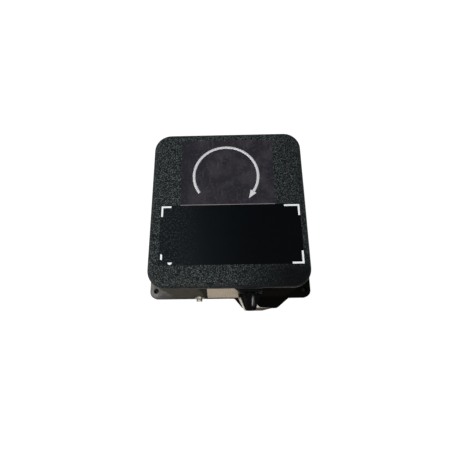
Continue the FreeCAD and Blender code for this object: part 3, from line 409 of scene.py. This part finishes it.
def lamination_steel():
    """Stacked sheets, seen as fine lines along the stack."""
    finish = Finish("lamination_steel", (0.3, 0.3, 0.31), 0.4, metallic=1.0)
    sheets = finish.bands(0.5, "Y", distortion=0.2)
    finish.tint(finish.spread(sheets, 0.0, 0.45, 0.8, 0.0), (0.08, 0.07, 0.06))
    finish.relief(sheets, 0.04, 0.6)
    return finish.material


def board_laminate():
    """Green circuit board with its weave showing faintly."""
    finish = Finish("board_laminate", (0.045, 0.075, 0.018), 0.3)
    weave = finish.both(finish.bands(0.7, "X"), finish.bands(0.7, "Y"))
    finish.tint(finish.spread(weave, 0.2, 0.8, 0.0, 0.5), (0.07, 0.11, 0.03))
    finish.relief(weave, 0.02, 0.5)
    return finish.material


ALLOY = metal("frame_alloy", (0.6, 0.6, 0.61), 0.34, (0.42, 0.42, 0.43), (1, 8, 1))
POLISHED = metal("polished_steel", (0.55, 0.55, 0.55), 0.18, (0.38, 0.38, 0.39), (1, 1, 6), 0.5)
GOLD = metal("contact_gold", (0.75, 0.52, 0.2), 0.25, (0.5, 0.33, 0.12))
HEAVY = metal("rotor_alloy", (0.42, 0.34, 0.24), 0.28, (0.28, 0.22, 0.15), (1, 9, 1))
MAGNET = metal("magnet_alloy", (0.1, 0.1, 0.11), 0.5, (0.05, 0.05, 0.055))
COPPER = metal("vane_copper", (0.58, 0.27, 0.14), 0.3, (0.34, 0.13, 0.07))
CAN = metal("can_alloy", (0.52, 0.53, 0.55), 0.3, (0.34, 0.34, 0.36))
SCREW = bright_steel()
LAMINATION = lamination_steel()
WIRE = winding_wire()
BOARD = board_laminate()
RUBBER = seal_rubber()
SHELL = plastic("connector_alloy", (0.004, 0.004, 0.0045), 0.4, (0.008, 0.008, 0.0085), specular=0.03)
INSULATOR = plastic("insulator_plastic", (0.03, 0.045, 0.03), 0.5, (0.05, 0.065, 0.045))
BODY_PLASTIC = plastic("resistor_body", (0.26, 0.14, 0.07), 0.45, (0.18, 0.09, 0.045))
TRIMMER = plastic("trimmer_blue", (0.02, 0.07, 0.25), 0.35, (0.014, 0.045, 0.17))

FINISHES = {
    "housing": housing_enamel(),
    "cover": wrinkle_paint(),
    "cover_gasket": RUBBER,
    "connector_gasket": RUBBER,
    "front_tape": crepe_tape(),
    "dust_cap": cap_gloss(),
    "connector_shell": SHELL,
    "connector_screws": SHELL,
    "connector_insert": INSULATOR,
    "connector_pins": GOLD,
    "balance_weights": GOLD,
    "board_spacers": GOLD,
    "rotor_rim": HEAVY,
    "damper_magnets": MAGNET,
    "damper_vane": COPPER,
    "power_board": BOARD,
    "signal_board": BOARD,
    "resistors": BODY_PLASTIC,
    "trimmers": TRIMMER,
    "power_capacitors": CAN,
    "transistors": CAN,
}
FINISHES.update(dict.fromkeys(("gyro_frame", "gimbal", "torsion_clamp", "rotor_end_bells"), ALLOY))
FINISHES.update(dict.fromkeys(
    ("gimbal_pivots", "gimbal_bearings", "torsion_bar", "limit_stops", "spin_bearings", "spin_shaft"), POLISHED))
FINISHES.update(dict.fromkeys(("ground_screw", "ground_washer"), ground_steel()))
FINISHES.update(dict.fromkeys(
    ("cover_screws", "frame_screws", "shaft_nuts", "board_screws"), SCREW))
FINISHES.update(dict.fromkeys(
    ("hysteresis_ring", "motor_stator", "pickoff_stator", "pickoff_armature", "transformer_core"), LAMINATION))
FINISHES.update(dict.fromkeys(("motor_windings", "pickoff_coils", "transformer_winding"), WIRE))


# Edges of the CAD pieces

SHARP_ANGLE = math.radians(32)
WELD_REACH = 0.002 * MM
BEVELS = {"housing": 0.6, "cover": 0.25, "dust_cap": 0.25, "ground_screw": 0.35, "ground_washer": 0.2,
          "connector_shell": 0.25}


def shade_tree():
    """Smooth shading, kept sharp where two faces meet at a clear angle."""
    tree = bpy.data.node_groups.new("shade_by_angle", "GeometryNodeTree")
    tree.interface.new_socket("Geometry", in_out="INPUT", socket_type="NodeSocketGeometry")
    tree.interface.new_socket("Geometry", in_out="OUTPUT", socket_type="NodeSocketGeometry")
    limit = tree.interface.new_socket("Angle", in_out="INPUT", socket_type="NodeSocketFloat")
    limit.default_value = SHARP_ANGLE
    start = tree.nodes.new("NodeGroupInput")
    end = tree.nodes.new("NodeGroupOutput")
    angle = tree.nodes.new("GeometryNodeInputMeshEdgeAngle")
    flat_enough = tree.nodes.new("FunctionNodeCompare")
    flat_enough.operation = "LESS_EQUAL"
    faces = tree.nodes.new("GeometryNodeSetShadeSmooth")
    faces.domain = "FACE"
    edges = tree.nodes.new("GeometryNodeSetShadeSmooth")
    edges.domain = "EDGE"
    link = tree.links.new
    link(start.outputs["Geometry"], faces.inputs["Geometry"])
    link(faces.outputs["Geometry"], edges.inputs["Geometry"])
    link(angle.outputs["Unsigned Angle"], flat_enough.inputs["A"])
    link(start.outputs["Angle"], flat_enough.inputs["B"])
    link(flat_enough.outputs["Result"], edges.inputs["Shade Smooth"])
    link(edges.outputs["Geometry"], end.inputs["Geometry"])
    return tree


def finish_solids():
    """Gives every CAD piece its finish, joined faces and softened edges."""
    shade = shade_tree()
    for name, piece in NODES.items():
        piece.data.materials.clear()
        piece.data.materials.append(FINISHES.get(name, ALLOY))
        weld = piece.modifiers.new("weld", "WELD")
        weld.merge_threshold = WELD_REACH
        if name in BEVELS:
            bevel = piece.modifiers.new("edges", "BEVEL")
            bevel.width = BEVELS[name] * MM
            bevel.segments = 3
            bevel.limit_method = "ANGLE"
            bevel.angle_limit = SHARP_ANGLE
            bevel.harden_normals = False
        piece.modifiers.new("shading", "NODES").node_group = shade


# Printed marks and decals

FILM_THICK = 0.12 * MM
INK_THICK = 0.02 * MM
ARC_CENTRE = Vector((-1.2 * MM, 22.7 * MM))
ARC_RADIUS = 24.2 * MM
ARC_STROKE = 2.0 * MM
ARC_STEPS = 73
ARC_START = math.radians(214.8)
ARC_END = math.radians(-33.5)
HEAD_TIP = Vector((15.5 * MM, 3.9 * MM))
HEAD_LONG = 6.6 * MM
HEAD_WIDE = 4.9 * MM
LOWER_CORNER = 0.8 * MM
ARROW_CORNER = 0.5 * MM
MARK_CENTRE = Vector((1.5 * MM, -23.15 * MM))
MARK_WIDTH = 99.0 * MM
MARK_DEPTH = 42.1 * MM
MARK_STROKE = 1.3 * MM
# Legs along X and Y, and small shifts in X and Y, of the marks left (-1) or right (1), front (-1) or back (1)
MARK_LEGS = {(-1, 1): (6.5 * MM, 7.5 * MM), (1, 1): (10.5 * MM, 7.8 * MM), (1, -1): (7.5 * MM, 8.5 * MM)}
MARK_SHIFTS = {(-1, 1): (-0.05 * MM, 0.0), (1, 1): (0.3 * MM, 0.0), (1, -1): (0.5 * MM, -0.45 * MM),
               (-1, -1): (0.8 * MM, 0.2 * MM)}
MARK_REMNANT = (2.4 * MM, 6.8 * MM)
REMNANT_SLANTS = (0.4 * MM, 0.6 * MM)
HALF_DOT = ((4.6, 0.65), (4.9, -0.4), (6.1, -1.1), (7.3, -0.5), (7.8, 0.65))
EDGE_LINE = 0.45 * MM


def flat_piece(name, outlines, bottom, thickness, material):
    """Closed thin plates on the housing from flat outlines, each a list of points."""
    shape = bmesh.new()
    for outline in outlines:
        lower = [shape.verts.new((x, y, bottom)) for x, y in outline]
        upper = [shape.verts.new((x, y, bottom + thickness)) for x, y in outline]
        shape.faces.new(upper)
        shape.faces.new(list(reversed(lower)))
        for index in range(len(outline)):
            after = (index + 1) % len(outline)
            shape.faces.new((lower[index], lower[after], upper[after], upper[index]))
    bmesh.ops.recalc_face_normals(shape, faces=shape.faces)
    mesh = bpy.data.meshes.new(name)
    shape.to_mesh(mesh)
    shape.free()
    piece = bpy.data.objects.new(name, mesh)
    bpy.context.scene.collection.objects.link(piece)
    mesh.materials.append(material)
    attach(piece, "housing")
    return piece


def round_rectangle(low, high, radius, steps=5):
    """Outline of a rectangle with rounded corners, counter-clockwise."""
    points = []
    centres = ((high.x - radius, high.y - radius), (low.x + radius, high.y - radius),
               (low.x + radius, low.y + radius), (high.x - radius, low.y + radius))
    for quarter, (x, y) in enumerate(centres):
        for step in range(steps + 1):
            turn = math.radians(90) * (quarter + step / steps)
            points.append((x + radius * math.cos(turn), y + radius * math.sin(turn)))
    return points


def replace_decal(node, name, material, corner):
    """A thin film with rounded corners in place of a decal's solid."""
    low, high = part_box(node)
    outline = round_rectangle(low, high, corner)
    piece = flat_piece(name, [outline], low.z, FILM_THICK, material)
    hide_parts(node)


def arc_band_tree():
    """A flat band with square ends that follows an arc: the shaft of the printed turn arrow."""
    tree = bpy.data.node_groups.new("arc_band", "GeometryNodeTree")
    tree.interface.new_socket("Geometry", in_out="OUTPUT", socket_type="NodeSocketGeometry")
    for name in ("Radius", "Start", "Sweep", "Stroke", "Thickness"):
        tree.interface.new_socket(name, in_out="INPUT", socket_type="NodeSocketFloat")
    tree.interface.new_socket("Centre", in_out="INPUT", socket_type="NodeSocketVector")
    tree.interface.new_socket("Ink", in_out="INPUT", socket_type="NodeSocketMaterial")
    start = tree.nodes.new("NodeGroupInput")
    end = tree.nodes.new("NodeGroupOutput")
    arc = tree.nodes.new("GeometryNodeCurveArc")
    arc.inputs["Resolution"].default_value = ARC_STEPS
    upright = tree.nodes.new("GeometryNodeSetCurveNormal")
    upright.mode = "Z_UP"
    section = tree.nodes.new("GeometryNodeCurvePrimitiveQuadrilateral")
    sweep = tree.nodes.new("GeometryNodeCurveToMesh")
    sweep.inputs["Fill Caps"].default_value = True
    move = tree.nodes.new("GeometryNodeTransform")
    realize = tree.nodes.new("GeometryNodeRealizeInstances")
    ink = tree.nodes.new("GeometryNodeSetMaterial")
    link = tree.links.new
    link(start.outputs["Radius"], arc.inputs["Radius"])
    link(start.outputs["Start"], arc.inputs["Start Angle"])
    link(start.outputs["Sweep"], arc.inputs["Sweep Angle"])
    link(start.outputs["Stroke"], section.inputs["Width"])
    link(start.outputs["Thickness"], section.inputs["Height"])
    link(arc.outputs["Curve"], upright.inputs["Curve"])
    link(upright.outputs["Curve"], sweep.inputs["Curve"])
    link(section.outputs["Curve"], sweep.inputs["Profile Curve"])
    link(sweep.outputs["Mesh"], move.inputs["Geometry"])
    link(start.outputs["Centre"], move.inputs["Translation"])
    link(move.outputs["Geometry"], realize.inputs["Geometry"])
    link(realize.outputs["Geometry"], ink.inputs["Geometry"])
    link(start.outputs["Ink"], ink.inputs["Material"])
    link(ink.outputs["Geometry"], end.inputs["Geometry"])
    return tree


def grown_piece(name, tree, values):
    """Plain mesh on the housing from a tree of Geometry Nodes with the given inputs."""
    piece = bpy.data.objects.new(name, bpy.data.meshes.new(name + "_start"))
    bpy.context.scene.collection.objects.link(piece)
    grow = piece.modifiers.new("grow", "NODES")
    grow.node_group = tree
    for socket in tree.interface.items_tree:
        if socket.in_out == "INPUT" and socket.name in values:
            grow[socket.identifier] = values[socket.name]
    seen = piece.evaluated_get(bpy.context.evaluated_depsgraph_get())
    mesh = bpy.data.meshes.new_from_object(seen)
    piece.modifiers.clear()
    piece.data = mesh
    mesh.name = name
    shape = bmesh.new()
    shape.from_mesh(mesh)
    bmesh.ops.recalc_face_normals(shape, faces=shape.faces)
    shape.to_mesh(mesh)
    shape.free()
    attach(piece, "housing")


def arrow_head():
    """Triangle at the front end of the arc."""
    base = ARC_CENTRE + ARC_RADIUS * Vector((math.cos(ARC_END), math.sin(ARC_END)))
    along = (HEAD_TIP - base).normalized()
    across = Vector((-along.y, along.x)) * HEAD_WIDE / 2
    back = HEAD_TIP - along * HEAD_LONG
    return [tuple(HEAD_TIP), tuple(back + across), tuple(back - across)]


def corner_marks():
    """Four L-shaped marks; the front left one is mostly worn away."""
    outlines = []
    for side_x in (-1, 1):
        for side_y in (-1, 1):
            corner = MARK_CENTRE + Vector((side_x * MARK_WIDTH, side_y * MARK_DEPTH)) / 2
            corner += Vector(MARK_SHIFTS[side_x, side_y])
            half = MARK_STROKE / 2
            if (side_x, side_y) not in MARK_LEGS:
                low, high = MARK_REMNANT
                low_slant, high_slant = REMNANT_SLANTS
                outlines.append([
                    (corner.x - half, corner.y + low + low_slant), (corner.x + half, corner.y + low),
                    (corner.x + half, corner.y + high - high_slant), (corner.x - half, corner.y + high)])
                outlines.append([(corner.x + x * MM, corner.y + y * MM) for x, y in HALF_DOT])
                continue
            reach_x, reach_y = MARK_LEGS[side_x, side_y]
            inner_x, inner_y = corner.x - side_x * half, corner.y - side_y * half
            outer_x, outer_y = corner.x + side_x * half, corner.y + side_y * half
            end_x, end_y = corner.x - side_x * reach_x, corner.y - side_y * reach_y
            outlines.append([(outer_x, outer_y), (outer_x, end_y), (inner_x, end_y), (inner_x, outer_y)])
            outlines.append([(inner_x, outer_y), (inner_x, inner_y), (end_x, inner_y), (end_x, outer_y)])
    return outlines


def make_decals():
    """Both films, the marks printed on them, and a painted highlight along the purple film's front edge."""
    replace_decal("lower_decal", "lower_film", black_decal(), LOWER_CORNER)
    replace_decal("arrow_decal", "arrow_film", purple_decal(), ARROW_CORNER)
    ink_bottom = COVER_TOP + FILM_THICK
    grey = print_ink("grey_ink", (0.5, 0.5, 0.53))
    white = print_ink("white_ink", (0.68, 0.7, 0.72))
    grown_piece("rotation_arc", arc_band_tree(), {
        "Radius": ARC_RADIUS, "Start": ARC_START, "Sweep": ARC_END - ARC_START, "Stroke": ARC_STROKE,
        "Thickness": INK_THICK, "Centre": (ARC_CENTRE.x, ARC_CENTRE.y, ink_bottom + INK_THICK / 2), "Ink": grey})
    flat_piece("rotation_arrow_head", [arrow_head()], ink_bottom, INK_THICK, grey)
    flat_piece("corner_marks", corner_marks(), ink_bottom, INK_THICK, white)
    low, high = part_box("arrow_decal")
    # painted highlight: a light line along the purple film's front edge
    edge = [(low.x, low.y), (high.x, low.y), (high.x, low.y + EDGE_LINE), (low.x, low.y + EDGE_LINE)]
    flat_piece("decal_edge", [edge], ink_bottom, INK_THICK, print_ink("painted_edge_highlight", (0.14, 0.12, 0.13)))


# Floor and light

FLOOR_HALF = 3.0             # metres
FLOOR_DROP = 0.05 * MM       # below the underside, so that the two don't meet
FLOOR_GLOW = 1.15            # strength of the white backdrop on the floor
FLOOR_SHARE = 0.82           # share of the backdrop in what the camera sees of the floor
FLOOR_REACH = 7 * MM         # how far the dark line at the part's foot spreads
FLOOR_OPEN = (0.24, 0.46)    # openness from which the floor is dark, and white
# painted shade: the colour the floor takes where ambient occlusion finds it closed in
FLOOR_DARK = (0.015, 0.015, 0.015, 1)
FLOOR_WHITE = (0.86, 0.86, 0.86, 1)
SKY_LIGHT = 0.14
SKY_COLOUR = (0.93, 0.97, 1.0, 1)
# Name, place and target in metres, diameter in metres, watts and colour
LAMPS = (
    ("window", (-0.3, 0.12, 0.96), (0, 0, 0.03), 0.3, 6.4, (1.0, 0.99, 0.97)),
    ("fill", (0.45, -0.52, 0.78), (0.02, -0.06, 0.03), 0.24, 4.0, (1.0, 0.99, 0.97)),
    ("front", (-0.8, -0.42, 0.14), (-0.02, -0.06, 0.04), 0.3, 3.6, (1.0, 0.95, 0.88)),
)


def math_node(tree, operation, first, second):
    """A sum, product or maximum in a material's or the world's tree."""
    node = tree.nodes.new("ShaderNodeMath")
    node.operation = operation
    tree.links.new(first, node.inputs[0])
    if isinstance(second, float):
        node.inputs[1].default_value = second
    else:
        tree.links.new(second, node.inputs[1])
    return node.outputs["Value"]


def backdrop_rays(tree):
    """One for the rays that see the backdrop: from the camera, by reflection or through glass."""
    rays = tree.nodes.new("ShaderNodeLightPath")
    seen = math_node(tree, "MAXIMUM", rays.outputs["Is Camera Ray"], rays.outputs["Is Glossy Ray"])
    return math_node(tree, "MAXIMUM", seen, rays.outputs["Is Transmission Ray"])


def make_floor():
    """White floor that takes a soft dark line of painted shade, from ambient occlusion, at the part's foot."""
    half = FLOOR_HALF
    mesh = bpy.data.meshes.new("floor")
    mesh.from_pydata([(-half, -half, 0), (half, -half, 0), (half, half, 0), (-half, half, 0)], [], [(0, 1, 2, 3)])
    floor = bpy.data.objects.new("floor", mesh)
    floor.location.z = -FLOOR_DROP
    bpy.context.scene.collection.objects.link(floor)
    material = bpy.data.materials.new("floor_white")
    material.use_nodes = True
    tree = material.node_tree
    nodes, links = tree.nodes, tree.links
    shader = nodes["Principled BSDF"]
    shader.inputs["Roughness"].default_value = 0.9
    shader.inputs["Specular IOR Level"].default_value = 0.1
    glow = nodes.new("ShaderNodeEmission")
    glow.inputs["Strength"].default_value = FLOOR_GLOW
    near = nodes.new("ShaderNodeAmbientOcclusion")
    near.inputs["Distance"].default_value = FLOOR_REACH
    near.samples = 16
    open_part = nodes.new("ShaderNodeMapRange")
    open_part.inputs["From Min"].default_value, open_part.inputs["From Max"].default_value = FLOOR_OPEN
    links.new(near.outputs["AO"], open_part.inputs["Value"])
    # painted shade: ambient occlusion dims the white glow and darkens the floor's colour at the part's foot and
    # under it
    seen = math_node(tree, "MULTIPLY", backdrop_rays(tree), open_part.outputs["Result"])
    seen = math_node(tree, "MULTIPLY", seen, FLOOR_SHARE)
    ground = nodes.new("ShaderNodeMix")
    ground.data_type = "RGBA"
    ground.inputs["A"].default_value = FLOOR_DARK
    ground.inputs["B"].default_value = FLOOR_WHITE
    links.new(open_part.outputs["Result"], ground.inputs["Factor"])
    links.new(ground.outputs["Result"], shader.inputs["Base Color"])
    blend = nodes.new("ShaderNodeMixShader")
    links.new(seen, blend.inputs["Fac"])
    links.new(shader.outputs["BSDF"], blend.inputs[1])
    links.new(glow.outputs["Emission"], blend.inputs[2])
    links.new(blend.outputs["Shader"], nodes["Material Output"].inputs["Surface"])
    mesh.materials.append(material)


def add_lamp(name, place, target, size, power, colour):
    """Round lamp that points at its target."""
    lamp = bpy.data.lights.new(name, "AREA")
    lamp.shape = "DISK"
    lamp.size = size
    lamp.energy = power
    lamp.color = colour
    holder = bpy.data.objects.new(name, lamp)
    holder.location = place
    holder.rotation_euler = (Vector(target) - Vector(place)).to_track_quat("-Z", "Y").to_euler()
    bpy.context.scene.collection.objects.link(holder)


def light_scene():
    """Dim sky behind a white backdrop, and the three lamps."""
    world = bpy.data.worlds.new("studio")
    bpy.context.scene.world = world
    world.use_nodes = True
    tree = world.node_tree
    sky = tree.nodes["Background"]
    sky.inputs["Color"].default_value = SKY_COLOUR
    sky.inputs["Strength"].default_value = SKY_LIGHT
    backdrop = tree.nodes.new("ShaderNodeBackground")
    backdrop.inputs["Color"].default_value = (1, 1, 1, 1)
    backdrop.inputs["Strength"].default_value = 1.0
    choice = tree.nodes.new("ShaderNodeMixShader")
    tree.links.new(backdrop_rays(tree), choice.inputs["Fac"])
    tree.links.new(sky.outputs["Background"], choice.inputs[1])
    tree.links.new(backdrop.outputs["Background"], choice.inputs[2])
    tree.links.new(choice.outputs["Shader"], tree.nodes["World Output"].inputs["Surface"])
    for lamp in LAMPS:
        add_lamp(*lamp)


place_camera()
finish_solids()
make_decals()
make_floor()
light_scene()
bpy.context.scene.view_settings.view_transform = "Standard"
